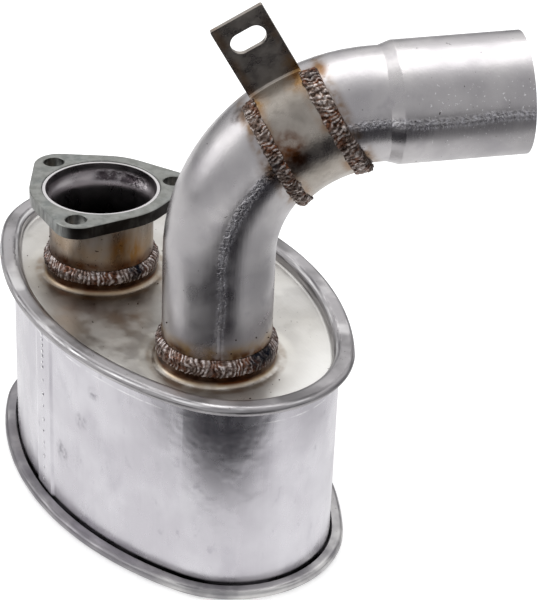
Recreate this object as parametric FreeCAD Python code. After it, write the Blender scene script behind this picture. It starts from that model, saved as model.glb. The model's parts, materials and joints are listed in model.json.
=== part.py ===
import FreeCAD, Part
import math
import os

# Oval exhaust muffler with a bolted inlet flange and a bent outlet pipe. Millimetres, +Z up.
# The body stands on its lower rim. The origin is the centre of the inlet flange's sealing face,
# and X runs along the long axis of the oval body.

# Body shell: the oval has two end arcs and two side arcs, measured on the wall's outer face
BODY_LENGTH = 241.4
BODY_WIDTH = 143.2
BODY_END_RADIUS = 52.4
BODY_HEIGHT = 115.5
SHELL_THICKNESS = 1.5

# End plates and the seam that rolls each of them round the shell's flange
PLATE_THICKNESS = 2.0
SEAM_PLAY = 0.1
SEAM_OVERHANG = 7.3
SHELL_BEND_RADIUS = 1.0
PLATE_BEND_RADIUS = 1.5
SEAM_STRAIGHT = 0.5
HEM_GAP = 1.4
FLANGE_EDGE_PLAY = 0.1
PANEL_MARGIN = 8.0

# Lap where the ends of the wrapped shell meet, in the middle of one side
LAP_WIDTH = 16.0
LAP_STEP = 0.8
LAP_JOGGLE = 2.5
LAP_ANGLE = 268.5

# Tube stock, and where each tube enters the upper plate, from the body's centre
TUBE_RADIUS = 27.5
TUBE_WALL = 1.5
INLET_X = -42.0
INLET_Y = -19.4
OUTLET_X = 65.0
OUTLET_Y = -9.2
TUBE_INSERTION = 18.0

# Collars drawn up out of the upper plate, and the weld on each rim
COLLAR_PLAY = 0.1
COLLAR_HEIGHT = 8.5
COLLAR_BEND_RADIUS = 3.0
INLET_WELD_RISE = 4.7
OUTLET_WELD_RISE = 6.0
COLLAR_WELD_DROP = 2.8
COLLAR_WELD_BULGE = 0.9
COLLAR_WELD_ROUNDING = 2.0

# Inlet flange: a disc with three ears round the bolt holes
INLET_HEIGHT = 48.5
FLANGE_THICKNESS = 7.0
FLANGE_LAND = 6.5
BOLT_COUNT = 3
BOLT_CIRCLE_RADIUS = 38.75
BOLT_HOLE_RADIUS = 5.5
BOLT_TURN = 74.0
EAR_RADIUS = 13.0
EAR_OVERHANG = 9.25
EDGE_CHAMFER = 0.4

# Inlet tube: its mouth opens out inside the flange
FLARE_START_DEPTH = 11.5
FLARE_END_DEPTH = 6.0
FLARE_RISE = 3.25
FLARE_PLAY = 0.25
FLARE_BLEND_RADIUS = 9.0
LIP_DEPTH = 0.6
FLANGE_WELD_LEG = 5.0
FLANGE_WELD_REACH = 2.5
FLANGE_WELD_TOE = 1.25

# Outlet tube: up, round one bend, then out to a socket
RISE_TO_BEND = 60.6
BEND_RADIUS = 76.0
BEND_ANGLE = 86.4
OUTLET_HEADING = 67.0
OUTLET_RUN = 71.5
SOCKET_START = 4.0
SOCKET_TAPER = 6.0
SOCKET_PLAY = 0.5
SOCKET_BLEND_RADIUS = 2.0

# Hanger bracket: one strap, formed round the bend and turned up into a slotted tab
STRAP_WIDTH = 27.0
STRAP_THICKNESS = 3.0
STRAP_PLAY = 0.1
STRAP_BEND_POSITION = 59.5
STRAP_CREASE_ANGLE = 13.0
STRAP_END_ANGLE = 172.0
STRAP_CREASE_RADIUS = 1.2
STRAP_HEEL_RADIUS = 3.0
TAB_HEIGHT = 36.8
TAB_CORNER_RADIUS = 0.8
SLOT_LENGTH = 17.7
SLOT_WIDTH = 10.0
SLOT_HEIGHT = 24.7

# Welds along the strap's two edges
LOWER_WELD_WIDTH = 5.5
LOWER_WELD_OVERLAP = 1.5
UPPER_WELD_WIDTH = 7.0
UPPER_WELD_OVERLAP = 1.5
STRAP_WELD_CROWN = 0.9
STRAP_WELD_START_ANGLE = 17.5
STRAP_WELD_END_ANGLE = 161.0
STRAP_WELD_ROUNDING = 2.4

# Baffles across the body, and the tubes that they hold
BAFFLE_THICKNESS = 1.5
BAFFLE_RIM_HEIGHT = 9.0
BAFFLE_BEND_RADIUS = 2.0
BAFFLE_PLAY = 0.1
LOWER_BAFFLE_Z = 36.0
UPPER_BAFFLE_Z = 74.0
INNER_TUBE_WALL = 1.5
SLEEVE_PLAY = 0.1
BAFFLE_HOLE_PLAY = 0.15
SLEEVE_OVERLAP = 10.0
INLET_SLEEVE_BOTTOM = 20.0
OUTLET_SLEEVE_BOTTOM = 26.0
TRANSFER_RADIUS = 17.5
TRANSFER_X = 14.0
TRANSFER_INSET = 38.6
TRANSFER_OVERHANG = 8.0
PERFORATION_RADIUS = 4.0
PERFORATION_ROWS = 3
PERFORATION_COLUMNS = 8
PERFORATION_PITCH = 11.0
CAP_DEPTH = 8.0
CAP_BEND_RADIUS = 2.5
CAP_PLAY = 0.1

# How close counts as touching, and how small counts as nothing
TOUCH = 0.05
NIL = 1e-6

# Values that follow from the sizes above
ORIGIN = FreeCAD.Vector(0, 0, 0)
UP = FreeCAD.Vector(0, 0, 1)
ACROSS = FreeCAD.Vector(0, 1, 0)
END_CENTRE = BODY_LENGTH / 2 - BODY_END_RADIUS
HALF_WIDTH = BODY_WIDTH / 2
SIDE_RADIUS = (END_CENTRE ** 2 + HALF_WIDTH ** 2 - BODY_END_RADIUS ** 2) / (BODY_WIDTH - 2 * BODY_END_RADIUS)
SIDE_CENTRE = SIDE_RADIUS - HALF_WIDTH
END_SPREAD = math.degrees(math.atan2(SIDE_CENTRE, END_CENTRE))
SEAM_HEIGHT = 2 * PLATE_THICKNESS + SHELL_THICKNESS + 2 * SEAM_PLAY
SEAM_FOLD_RADIUS = (SEAM_HEIGHT - PLATE_THICKNESS) / 2
SHELL_BEND_MIDDLE = SHELL_BEND_RADIUS + SHELL_THICKNESS / 2
SEAM_CORNER_MIDDLE = SHELL_BEND_MIDDLE + SHELL_THICKNESS / 2 + SEAM_PLAY + PLATE_THICKNESS / 2
PLATE_BEND_MIDDLE = PLATE_BEND_RADIUS + PLATE_THICKNESS / 2
PANEL_DEPTH = PLATE_BEND_MIDDLE + SEAM_STRAIGHT + SEAM_CORNER_MIDDLE
PANEL_TOP = BODY_HEIGHT - PANEL_DEPTH
PANEL_UNDERSIDE = PANEL_TOP - PLATE_THICKNESS
PLATE_WALL_INSET = SHELL_THICKNESS + SEAM_PLAY + PLATE_THICKNESS / 2
PANEL_EDGE = -PLATE_WALL_INSET - PLATE_BEND_MIDDLE - PANEL_MARGIN
TUBE_BORE_RADIUS = TUBE_RADIUS - TUBE_WALL
FLARE_MOUTH_RADIUS = TUBE_RADIUS + FLARE_RISE
FLANGE_BORE_RADIUS = FLARE_MOUTH_RADIUS + FLARE_PLAY
FLANGE_DISC_RADIUS = FLANGE_BORE_RADIUS + FLANGE_LAND
EAR_REACH = BOLT_CIRCLE_RADIUS + EAR_OVERHANG
COLLAR_RADIUS = TUBE_RADIUS + COLLAR_PLAY + PLATE_THICKNESS
COLLAR_FOOT_RADIUS = COLLAR_RADIUS + COLLAR_BEND_RADIUS
COLLAR_TOP = PANEL_TOP + COLLAR_HEIGHT
SADDLE_BORE_RADIUS = TUBE_RADIUS + STRAP_PLAY
SADDLE_RADIUS = SADDLE_BORE_RADIUS + STRAP_THICKNESS
FLANGE_TOP = PANEL_TOP + INLET_HEIGHT
FLANGE_UNDERSIDE = FLANGE_TOP - FLANGE_THICKNESS
FLARE_TOP = FLANGE_TOP - FLARE_END_DEPTH
FLARE_BOTTOM = FLANGE_TOP - FLARE_START_DEPTH
TUBE_BOTTOM = PANEL_UNDERSIDE - TUBE_INSERTION
BEND_START = PANEL_TOP + RISE_TO_BEND
BEND_CENTRE = FreeCAD.Vector(BEND_RADIUS, 0, BEND_START)
SLEEVE_RADIUS = TUBE_RADIUS + SLEEVE_PLAY + INNER_TUBE_WALL
SLEEVE_TOP = TUBE_BOTTOM + SLEEVE_OVERLAP
TRANSFER_Y = HALF_WIDTH - TRANSFER_INSET


def polar(radius, angle):
    """Level vector of a length, turned by an angle in degrees from +X."""
    return FreeCAD.Vector(radius * math.cos(math.radians(angle)), radius * math.sin(math.radians(angle)), 0)


def rounded_face(corners):
    """Face in the XZ plane inside a loop of corners (x, z, radius), each rounded to its radius."""
    points = [FreeCAD.Vector(x, 0, z) for x, z, _ in corners]
    starts, ends, middles = [], [], []
    for index, point in enumerate(points):
        back = (points[index - 1] - point).normalize()
        ahead = (points[(index + 1) % len(points)] - point).normalize()
        radius = corners[index][2]
        half_angle = back.getAngle(ahead) / 2
        reach = radius / math.tan(half_angle)
        starts.append(point + back * reach)
        ends.append(point + ahead * reach)
        inward = back + ahead
        if radius > 0 and inward.Length > NIL:
            inward.normalize()
            middles.append(point + inward * (radius / math.sin(half_angle) - radius))
        else:
            middles.append(None)
    edges = []
    for index, middle in enumerate(middles):
        if middle is not None:
            edges.append(Part.Arc(starts[index], middle, ends[index]).toShape())
        following = starts[(index + 1) % len(points)]
        if (following - ends[index]).Length > NIL:
            edges.append(Part.LineSegment(ends[index], following).toShape())
    return Part.Face(Part.Wire(Part.__sortEdges__(edges)))


def sheet_section(path, thickness):
    """Section of a folded sheet whose middle line has the corners (x, z, bend radius)."""
    half = thickness / 2
    points = [FreeCAD.Vector(x, 0, z) for x, z, _ in path]
    runs = [(points[i + 1] - points[i]).normalize() for i in range(len(points) - 1)]
    normals = [FreeCAD.Vector(-run.z, 0, run.x) for run in runs]
    left, right = [], []
    for index, point in enumerate(points):
        before = normals[max(index - 1, 0)]
        after = normals[min(index, len(normals) - 1)]
        shift = (before + after) * (half / (1 + before.dot(after)))
        turn = before.x * after.z - before.z * after.x
        bend = path[index][2]
        side = half if turn > NIL else -half
        left_radius, right_radius = (bend - side, bend + side) if abs(turn) > NIL else (0, 0)
        left.append((point.x + shift.x, point.z + shift.z, left_radius))
        right.append((point.x - shift.x, point.z - shift.z, right_radius))
    return rounded_face(left + right[::-1])


def spin(face, x=0, y=0):
    """Solid of a section turned once round the upright axis through x, y."""
    solid = face.revolve(ORIGIN, UP, 360)
    solid.translate(FreeCAD.Vector(x, y, 0))
    return solid


def join(solids):
    """One clean solid out of solids that share faces."""
    return solids[0].multiFuse(solids[1:]).removeSplitter()


def cylinder(radius, bottom, top, x=0, y=0):
    """Upright round bar between two heights."""
    return Part.makeCylinder(radius, top - bottom, FreeCAD.Vector(x, y, bottom))


def tube(radius, wall, bottom, top, x=0, y=0):
    """Upright round tube between two heights."""
    return cylinder(radius, bottom, top, x, y).cut(cylinder(radius - wall, bottom, top, x, y))


def oval_arcs():
    """Centre, radius, start angle and spread of the four arcs of the wall's outer face."""
    side_spread = 180 - 2 * END_SPREAD
    return [
        (FreeCAD.Vector(END_CENTRE, 0, 0), BODY_END_RADIUS, -END_SPREAD, 2 * END_SPREAD),
        (FreeCAD.Vector(0, -SIDE_CENTRE, 0), SIDE_RADIUS, END_SPREAD, side_spread),
        (FreeCAD.Vector(-END_CENTRE, 0, 0), BODY_END_RADIUS, 180 - END_SPREAD, 2 * END_SPREAD),
        (FreeCAD.Vector(0, SIDE_CENTRE, 0), SIDE_RADIUS, 180 + END_SPREAD, side_spread),
    ]


def oval_sweep(make_section):
    """Solid swept round the oval. make_section gives the section for the wall at radius x."""
    sectors = []
    for centre, radius, start, spread in oval_arcs():
        section = make_section(radius)
        section.rotate(ORIGIN, UP, start)
        sector = section.revolve(ORIGIN, UP, spread)
        sector.translate(centre)
        sectors.append(sector)
    return join(sectors)


def oval_slab(offset, bottom, top):
    """Flat oval plate whose edge lies at an offset from the wall's outer face."""
    edges = []
    for centre, radius, start, spread in oval_arcs():
        level = FreeCAD.Vector(centre.x, centre.y, bottom)
        edges.append(Part.makeCircle(radius + offset, level, UP, start, start + spread))
    return Part.Face(Part.Wire(edges)).extrude(UP * (top - bottom))


def make_lap():
    """Outer end of the wrapped sheet, which stands proud of the wall and slopes back into it."""
    half = math.degrees(LAP_WIDTH / 2 / SIDE_RADIUS)
    slope = math.degrees(LAP_JOGGLE / SIDE_RADIUS)
    level = FreeCAD.Vector(0, SIDE_CENTRE, SEAM_HEIGHT)
    free_end, crest_end = LAP_ANGLE - half, LAP_ANGLE + half
    foot_end = crest_end + slope
    crest_radius = SIDE_RADIUS + LAP_STEP
    root_radius = SIDE_RADIUS - SHELL_THICKNESS / 2
    crest = Part.makeCircle(crest_radius, level, UP, free_end, crest_end)
    root = Part.makeCircle(root_radius, level, UP, free_end, foot_end)
    foot = level + polar(SIDE_RADIUS, foot_end)
    edges = [
        crest,
        Part.makeLine(level + polar(crest_radius, crest_end), foot),
        Part.makeLine(foot, level + polar(root_radius, foot_end)),
        root,
        Part.makeLine(level + polar(root_radius, free_end), level + polar(crest_radius, free_end)),
    ]
    outline = Part.Face(Part.Wire(Part.__sortEdges__(edges)))
    return outline.extrude(UP * (BODY_HEIGHT - 2 * SEAM_HEIGHT))


def make_shell():
    """Wrapped oval wall with an outward flange at each end and a lap joint down one side."""
    flange_level = PLATE_THICKNESS + SEAM_PLAY + SHELL_THICKNESS / 2
    fold_bore = SEAM_FOLD_RADIUS - PLATE_THICKNESS / 2
    fold_centre = SEAM_OVERHANG - PLATE_THICKNESS / 2 - SEAM_FOLD_RADIUS
    edge = fold_centre + math.sqrt(fold_bore ** 2 - (SHELL_THICKNESS / 2) ** 2) - FLANGE_EDGE_PLAY
    wall = -SHELL_THICKNESS / 2

    def section(radius):
        path = [
            (radius + edge, flange_level, 0),
            (radius + wall, flange_level, SHELL_BEND_MIDDLE),
            (radius + wall, BODY_HEIGHT - flange_level, SHELL_BEND_MIDDLE),
            (radius + edge, BODY_HEIGHT - flange_level, 0),
        ]
        return sheet_section(path, SHELL_THICKNESS)

    return join([oval_sweep(section), make_lap()])


def make_end_plate():
    """Pressed plate with its edge rolled over, round and under the shell's flange, open side up."""
    layer = PLATE_THICKNESS / 2
    fold = SEAM_OVERHANG - layer

    def section(radius):
        path = [
            (radius + PANEL_EDGE, PANEL_TOP - layer, 0),
            (radius - PLATE_WALL_INSET, PANEL_TOP - layer, PLATE_BEND_MIDDLE),
            (radius - PLATE_WALL_INSET, BODY_HEIGHT - layer, SEAM_CORNER_MIDDLE),
            (radius + fold, BODY_HEIGHT - layer, SEAM_FOLD_RADIUS),
            (radius + fold, BODY_HEIGHT - SEAM_HEIGHT + layer, SEAM_FOLD_RADIUS),
            (radius + HEM_GAP, BODY_HEIGHT - SEAM_HEIGHT + layer, 0),
        ]
        return sheet_section(path, PLATE_THICKNESS)

    return join([oval_sweep(section), oval_slab(PANEL_EDGE, PANEL_UNDERSIDE, PANEL_TOP)])


def make_collar(x, y):
    """Collar drawn up out of the plate round a tube."""
    middle = COLLAR_RADIUS - PLATE_THICKNESS / 2
    bend = COLLAR_BEND_RADIUS + PLATE_THICKNESS / 2
    path = [
        (middle + bend, PANEL_TOP - PLATE_THICKNESS / 2, 0),
        (middle, PANEL_TOP - PLATE_THICKNESS / 2, bend),
        (middle, COLLAR_TOP, 0),
    ]
    return spin(sheet_section(path, PLATE_THICKNESS), x, y)


def make_top_end_plate():
    """Upper end plate with the two drawn collars."""
    ports = [(INLET_X, INLET_Y), (OUTLET_X, OUTLET_Y)]
    openings = [cylinder(COLLAR_FOOT_RADIUS, PANEL_UNDERSIDE, PANEL_TOP, x, y) for x, y in ports]
    collars = [make_collar(x, y) for x, y in ports]
    return join([make_end_plate().cut(openings)] + collars)


def make_bottom_end_plate():
    """Lower end plate: the same pressing without openings, turned over."""
    return make_end_plate().mirror(FreeCAD.Vector(0, 0, BODY_HEIGHT / 2), UP)


def make_collar_weld(x, y, rise):
    """Heavy weld bead over the rim of a collar, up to a rise on the tube."""
    belly = COLLAR_RADIUS + COLLAR_WELD_BULGE
    corners = [
        (TUBE_RADIUS, COLLAR_TOP + rise, 0),
        (belly, COLLAR_TOP + rise - (belly - TUBE_RADIUS), COLLAR_WELD_ROUNDING),
        (belly, COLLAR_TOP - COLLAR_WELD_DROP + COLLAR_WELD_BULGE / 2, COLLAR_WELD_BULGE / 2),
        (COLLAR_RADIUS, COLLAR_TOP - COLLAR_WELD_DROP, 0),
        (COLLAR_RADIUS, COLLAR_TOP, 0),
        (TUBE_RADIUS, COLLAR_TOP, 0),
    ]
    return spin(rounded_face(corners), x, y)


def flange_outline():
    """Outline of the inlet flange: a disc and three ears with straight flanks."""
    ear_centre = EAR_REACH - EAR_RADIUS
    lean = math.degrees(math.acos((FLANGE_DISC_RADIUS - EAR_RADIUS) / ear_centre))
    step = 360 / BOLT_COUNT
    edges = []
    for index in range(BOLT_COUNT):
        angle = BOLT_TURN + index * step
        centre = polar(ear_centre, angle)
        ear_start = centre + polar(EAR_RADIUS, angle - lean)
        ear_end = centre + polar(EAR_RADIUS, angle + lean)
        disc_start = polar(FLANGE_DISC_RADIUS, angle + lean)
        disc_end = polar(FLANGE_DISC_RADIUS, angle + step - lean)
        next_ear = polar(ear_centre, angle + step) + polar(EAR_RADIUS, angle + step - lean)
        edges.append(Part.Arc(ear_start, polar(EAR_REACH, angle), ear_end).toShape())
        edges.append(Part.makeLine(ear_end, disc_start))
        edges.append(Part.Arc(disc_start, polar(FLANGE_DISC_RADIUS, angle + step / 2), disc_end).toShape())
        edges.append(Part.makeLine(disc_end, next_ear))
    return Part.Face(Part.Wire(edges))


def make_inlet_flange():
    """Flange plate with its bore, bolt holes and broken edges."""
    plate = flange_outline().extrude(UP * FLANGE_THICKNESS)
    cuts = [cylinder(FLANGE_BORE_RADIUS, 0, FLANGE_THICKNESS)]
    for index in range(BOLT_COUNT):
        spot = polar(BOLT_CIRCLE_RADIUS, BOLT_TURN + index * 360 / BOLT_COUNT)
        cuts.append(cylinder(BOLT_HOLE_RADIUS, 0, FLANGE_THICKNESS, spot.x, spot.y))
    plate = plate.cut(cuts)
    rim_edges = [edge for edge in plate.Edges if edge.BoundBox.ZLength < NIL]
    plate = plate.makeChamfer(EDGE_CHAMFER, rim_edges)
    plate.translate(FreeCAD.Vector(INLET_X, INLET_Y, FLANGE_UNDERSIDE))
    return plate


def flare_radius(height):
    """Outer radius of the flare at a height, with its two blends left out."""
    share = (height - FLARE_BOTTOM) / (FLARE_TOP - FLARE_BOTTOM)
    return TUBE_RADIUS + FLARE_RISE * min(max(share, 0), 1)


def make_inlet_pipe():
    """Inlet tube, from inside the body to its flared mouth in the flange."""
    middle = TUBE_RADIUS - TUBE_WALL / 2
    mouth = FLARE_MOUTH_RADIUS - TUBE_WALL / 2
    path = [
        (middle, TUBE_BOTTOM, 0),
        (middle, FLARE_BOTTOM, FLARE_BLEND_RADIUS),
        (mouth, FLARE_TOP, FLARE_BLEND_RADIUS),
        (mouth, FLANGE_TOP - LIP_DEPTH, 0),
    ]
    return spin(sheet_section(path, TUBE_WALL), INLET_X, INLET_Y)


def make_inlet_flange_weld():
    """Fillet weld between the flare and the flange's underside."""
    lower = FLANGE_UNDERSIDE - FLANGE_WELD_LEG
    reach = FLANGE_BORE_RADIUS + FLANGE_WELD_REACH
    corners = [
        (TUBE_BORE_RADIUS, lower, 0),
        (flare_radius(lower) + FLANGE_WELD_TOE, lower, 0),
        (reach, FLANGE_UNDERSIDE - FLANGE_WELD_TOE, 0),
        (reach, FLANGE_UNDERSIDE, 0),
        (TUBE_BORE_RADIUS, FLANGE_UNDERSIDE, 0),
    ]
    ring = spin(rounded_face(corners), INLET_X, INLET_Y)
    core = [
        (0, lower - FLANGE_WELD_LEG, 0),
        (TUBE_RADIUS - TUBE_WALL / 2, lower - FLANGE_WELD_LEG, 0),
        (TUBE_RADIUS - TUBE_WALL / 2, FLARE_BOTTOM, 0),
        (FLARE_MOUTH_RADIUS - TUBE_WALL / 2, FLARE_TOP, 0),
        (FLARE_MOUTH_RADIUS - TUBE_WALL / 2, FLANGE_TOP, 0),
        (0, FLANGE_TOP, 0),
    ]
    return ring.cut([make_inlet_pipe(), spin(rounded_face(core), INLET_X, INLET_Y)])


def turn(shape, angle):
    """Swings a shape along the outlet's bend, from the bend's start."""
    shape.rotate(BEND_CENTRE, ACROSS, angle)
    return shape


def place_outlet(shape):
    """Moves a shape from the outlet's own axes, where the bend runs towards +X, to its port."""
    shape.rotate(ORIGIN, UP, OUTLET_HEADING)
    shape.translate(FreeCAD.Vector(OUTLET_X, OUTLET_Y, 0))
    return shape


def bend_sweep(section, start, end):
    """Turns a section, drawn level at the bend's start, round the bend between two angles."""
    solid = section.revolve(BEND_CENTRE, ACROSS, end - start)
    return turn(solid, start)


def ring_face(outer, inner, start=0, end=360):
    """Level ring, or a sector of it, at the bend's start. Angles turn from the outside of the bend."""
    level = FreeCAD.Vector(0, 0, BEND_START)
    if end - start >= 360:
        return Part.Face([Part.Wire(Part.makeCircle(radius, level)) for radius in (outer, inner)])
    edges = []
    rays = [FreeCAD.Vector(-math.cos(math.radians(a)), -math.sin(math.radians(a)), 0) for a in (start, end)]
    for radius in (outer, inner):
        edges.append(Part.makeCircle(radius, level, UP, 180 + start, 180 + end))
    for ray in rays:
        edges.append(Part.makeLine(level + ray * inner, level + ray * outer))
    return Part.Face(Part.Wire(Part.__sortEdges__(edges)))


def make_outlet_pipe():
    """Outlet tube: the riser, the bend and the run that opens into a socket."""
    riser = tube(TUBE_RADIUS, TUBE_WALL, TUBE_BOTTOM, BEND_START)
    bend = bend_sweep(ring_face(TUBE_RADIUS, TUBE_BORE_RADIUS), 0, BEND_ANGLE)
    middle = TUBE_RADIUS - TUBE_WALL / 2
    socket = TUBE_RADIUS + SOCKET_PLAY + TUBE_WALL / 2
    path = [
        (middle, BEND_START, 0),
        (middle, BEND_START + SOCKET_START, SOCKET_BLEND_RADIUS),
        (socket, BEND_START + SOCKET_START + SOCKET_TAPER, SOCKET_BLEND_RADIUS),
        (socket, BEND_START + OUTLET_RUN, 0),
    ]
    run = turn(spin(sheet_section(path, TUBE_WALL)), BEND_ANGLE)
    return place_outlet(join([riser, bend, run]))


def strap_band(outer, inner, start, end, lower, upper):
    """Piece of a ring that follows the bend, trimmed square to the bend at the strap."""
    reach = max(abs(lower), abs(upper)) + STRAP_WIDTH / 2
    swing = math.degrees(math.asin(reach / (BEND_RADIUS - outer)))
    band = bend_sweep(ring_face(outer, inner, start, end), -swing, swing)
    size = 4 * outer
    corner = FreeCAD.Vector(-size / 2, -size / 2, BEND_START + lower)
    return band.common(Part.makeBox(size, size, upper - lower, corner))


def edges_through(shape, point):
    """Edges of a shape that pass through a point."""
    spot = Part.Vertex(point)
    return [edge for edge in shape.Edges if edge.distToShape(spot)[0] < TOUCH]


def make_tab():
    """Flat tab of the strap, level with the bend's plane, with its slot."""
    crease = math.radians(STRAP_CREASE_ANGLE)
    front = -SADDLE_RADIUS * math.sin(crease)
    crease_out = SADDLE_RADIUS * math.cos(crease)
    half = STRAP_WIDTH / 2

    def point(out, along):
        return FreeCAD.Vector(-out, front, BEND_START + along)

    foot, top = crease_out / 2, crease_out + TAB_HEIGHT
    loop = [point(foot, -half), point(top, -half), point(top, half), point(foot, half), point(foot, -half)]
    tab = Part.Face(Part.makePolygon(loop)).extrude(ACROSS * STRAP_THICKNESS)
    corners = edges_through(tab, point(top, -half) + ACROSS * (STRAP_THICKNESS / 2))
    corners += edges_through(tab, point(top, half) + ACROSS * (STRAP_THICKNESS / 2))
    tab = tab.makeFillet(TAB_CORNER_RADIUS, corners)
    centre = crease_out + SLOT_HEIGHT
    end = SLOT_LENGTH / 2
    run = end - SLOT_WIDTH / 2
    low, high = centre - SLOT_WIDTH / 2, centre + SLOT_WIDTH / 2
    edges = [
        Part.makeLine(point(low, -run), point(low, run)),
        Part.Arc(point(low, run), point(centre, end), point(high, run)).toShape(),
        Part.makeLine(point(high, run), point(high, -run)),
        Part.Arc(point(high, -run), point(centre, -end), point(low, -run)).toShape(),
    ]
    return tab.cut(Part.Face(Part.Wire(edges)).extrude(ACROSS * STRAP_THICKNESS))


def make_hanger_bracket():
    """Strap formed round the bend, turned up square into the slotted tab."""
    half = STRAP_WIDTH / 2
    hidden = math.degrees(STRAP_THICKNESS / 2 / SADDLE_RADIUS)
    start = STRAP_CREASE_ANGLE - hidden
    saddle = strap_band(SADDLE_RADIUS, SADDLE_BORE_RADIUS, start, STRAP_END_ANGLE, -half, half)
    bore = Part.Face(Part.Wire(Part.makeCircle(SADDLE_BORE_RADIUS, FreeCAD.Vector(0, 0, BEND_START))))
    tube_room = bend_sweep(bore, -BEND_ANGLE / 2, BEND_ANGLE / 2)
    strap = saddle.fuse(make_tab().cut(tube_room)).removeSplitter()
    front = SADDLE_RADIUS * math.sin(math.radians(STRAP_CREASE_ANGLE))
    crease_out = math.sqrt(SADDLE_RADIUS ** 2 - front ** 2)
    heel_out = math.sqrt(SADDLE_BORE_RADIUS ** 2 - (front - STRAP_THICKNESS) ** 2)
    crease = edges_through(strap, FreeCAD.Vector(-crease_out, -front, BEND_START))
    strap = strap.makeFillet(STRAP_CREASE_RADIUS, crease)
    heel = edges_through(strap, FreeCAD.Vector(-heel_out, STRAP_THICKNESS - front, BEND_START))
    strap = strap.makeFillet(STRAP_HEEL_RADIUS, heel)
    return place_outlet(turn(strap, STRAP_BEND_POSITION))


def make_strap_weld(side, width, overlap):
    """Weld along one edge of the strap, on side -1 or 1, partly over the strap where it overlaps it."""
    edge, toe = side * STRAP_WIDTH / 2, side * (STRAP_WIDTH / 2 + width)
    crown = SADDLE_RADIUS + STRAP_WELD_CROWN
    angles = STRAP_WELD_START_ANGLE, STRAP_WELD_END_ANGLE
    bead = strap_band(crown, TUBE_RADIUS, *angles, min(edge, toe), max(edge, toe))
    if overlap > 0:
        lap = edge - side * overlap
        bead = join([bead, strap_band(crown, SADDLE_RADIUS, *angles, min(edge, lap), max(edge, lap))])
    sag = BEND_RADIUS - math.sqrt(BEND_RADIUS ** 2 - toe ** 2)
    shoulder = edges_through(bead, FreeCAD.Vector(sag, -crown, BEND_START + toe))
    bead = bead.makeFillet(STRAP_WELD_ROUNDING, shoulder)
    return place_outlet(turn(bead, STRAP_BEND_POSITION))


def make_baffle(level):
    """Pressed baffle with a rim against the shell and a hole for each tube."""
    layer = BAFFLE_THICKNESS / 2
    wall = -SHELL_THICKNESS - BAFFLE_PLAY - layer
    bend = BAFFLE_BEND_RADIUS + layer
    inside = wall - bend - PANEL_MARGIN

    def section(radius):
        path = [
            (radius + inside, level + layer, 0),
            (radius + wall, level + layer, bend),
            (radius + wall, level + BAFFLE_RIM_HEIGHT, 0),
        ]
        return sheet_section(path, BAFFLE_THICKNESS)

    plate = join([oval_sweep(section), oval_slab(inside, level, level + BAFFLE_THICKNESS)])
    tubes = [
        (INLET_X, INLET_Y, SLEEVE_RADIUS),
        (OUTLET_X, OUTLET_Y, SLEEVE_RADIUS),
        (TRANSFER_X, TRANSFER_Y, TRANSFER_RADIUS),
    ]
    top = level + BAFFLE_THICKNESS
    holes = [cylinder(radius + BAFFLE_HOLE_PLAY, level, top, x, y) for x, y, radius in tubes]
    return plate.cut(holes)


def make_inlet_perforated_tube():
    """Sleeve under the inlet tube, with rows of holes between the baffles."""
    sleeve = tube(SLEEVE_RADIUS, INNER_TUBE_WALL, INLET_SLEEVE_BOTTOM, SLEEVE_TOP)
    middle = (LOWER_BAFFLE_Z + UPPER_BAFFLE_Z + BAFFLE_THICKNESS) / 2
    drills = []
    for row in range(PERFORATION_ROWS):
        height = middle + (row - (PERFORATION_ROWS - 1) / 2) * PERFORATION_PITCH
        for column in range(PERFORATION_COLUMNS):
            angle = math.radians((column + (row % 2) / 2) * 360 / PERFORATION_COLUMNS)
            direction = FreeCAD.Vector(math.cos(angle), math.sin(angle), 0)
            start = direction * (SLEEVE_RADIUS / 2) + UP * height
            drills.append(Part.makeCylinder(PERFORATION_RADIUS, SLEEVE_RADIUS, start, direction))
    sleeve = sleeve.cut(drills)
    sleeve.translate(FreeCAD.Vector(INLET_X, INLET_Y, 0))
    return sleeve


def make_inlet_tube_cap():
    """Cup that closes the lower end of the perforated tube."""
    layer = INNER_TUBE_WALL / 2
    wall = SLEEVE_RADIUS - INNER_TUBE_WALL - CAP_PLAY - layer
    path = [
        (0, INLET_SLEEVE_BOTTOM + layer, 0),
        (wall, INLET_SLEEVE_BOTTOM + layer, CAP_BEND_RADIUS + layer),
        (wall, INLET_SLEEVE_BOTTOM + CAP_DEPTH, 0),
    ]
    return spin(sheet_section(path, INNER_TUBE_WALL), INLET_X, INLET_Y)


def make_outlet_inner_tube():
    """Sleeve under the outlet tube, open in the lowest chamber."""
    return tube(SLEEVE_RADIUS, INNER_TUBE_WALL, OUTLET_SLEEVE_BOTTOM, SLEEVE_TOP, OUTLET_X, OUTLET_Y)


def make_transfer_tube():
    """Short tube through both baffles."""
    bottom = LOWER_BAFFLE_Z - TRANSFER_OVERHANG
    top = UPPER_BAFFLE_Z + BAFFLE_THICKNESS + TRANSFER_OVERHANG
    return tube(TRANSFER_RADIUS, INNER_TUBE_WALL, bottom, top, TRANSFER_X, TRANSFER_Y)


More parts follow.
